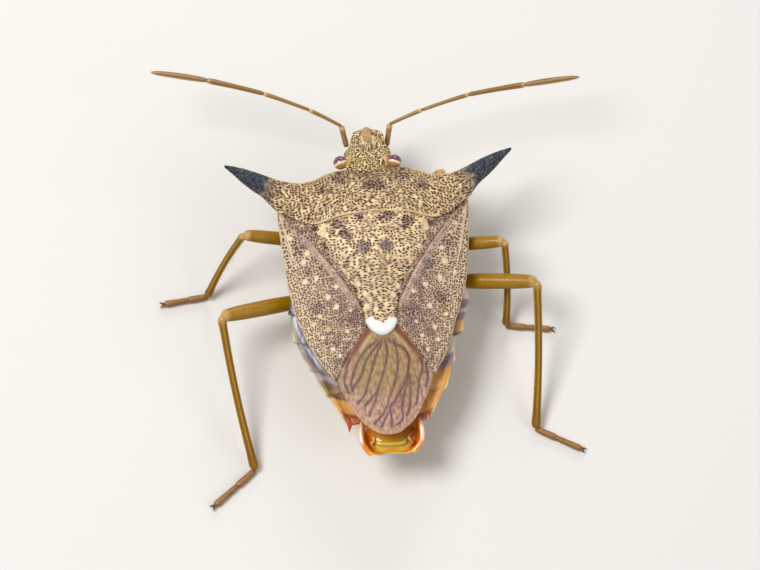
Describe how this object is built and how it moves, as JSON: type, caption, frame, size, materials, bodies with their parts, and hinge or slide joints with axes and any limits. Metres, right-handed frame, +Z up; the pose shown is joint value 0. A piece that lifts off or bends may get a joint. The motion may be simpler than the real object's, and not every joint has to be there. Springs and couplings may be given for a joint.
{
  "type": "shield bug",
  "caption": "Spined shield bug at rest: horned shoulder shield, folded leathery wings over a broad abdomen, jointed legs and long feelers.",
  "frame": {"origin": "middle of the box round the whole bug, on the floor under it", "axes": "+Y towards the head, +X to the bug's own right, +Z up from the floor"},
  "size_m": [0.0202, 0.0202, 0.0056],
  "materials": {
    "speckled_shell": "satin, pitted",
    "leathery_wing": "satin, pitted",
    "wing_membrane": "silky, translucent",
    "belly": "satin",
    "orange_capsule": "glossy, translucent",
    "amber_limb": "satin, translucent",
    "eye": "glossy"
  },
  "bodies": {
    "root": {"head": "speckled_shell", "eye_left": "eye", "eye_right": "eye", "beak": "amber_limb", "antenna_left_base": "amber_limb", "antenna_left": "amber_limb", "antenna_right_base": "amber_limb", "antenna_right": "amber_limb", "pronotum": "speckled_shell", "scutellum": "speckled_shell", "wing_left": "leathery_wing", "membrane_left": "wing_membrane", "wing_right": "leathery_wing", "membrane_right": "wing_membrane", "thorax": "belly", "abdomen": "belly", "genital_capsule": "orange_capsule", "front_left_femur": "amber_limb", "front_left_tibia": "amber_limb", "front_left_tarsus": "amber_limb", "front_right_femur": "amber_limb", "front_right_tibia": "amber_limb", "front_right_tarsus": "amber_limb", "middle_left_femur": "amber_limb", "middle_left_tibia": "amber_limb", "middle_left_tarsus": "amber_limb", "middle_right_femur": "amber_limb", "middle_right_tibia": "amber_limb", "middle_right_tarsus": "amber_limb", "hind_left_femur": "amber_limb", "hind_left_tibia": "amber_limb", "hind_left_tarsus": "amber_limb", "hind_right_femur": "amber_limb", "hind_right_tibia": "amber_limb", "hind_right_tarsus": "amber_limb"}
  },
  "joints": []
}
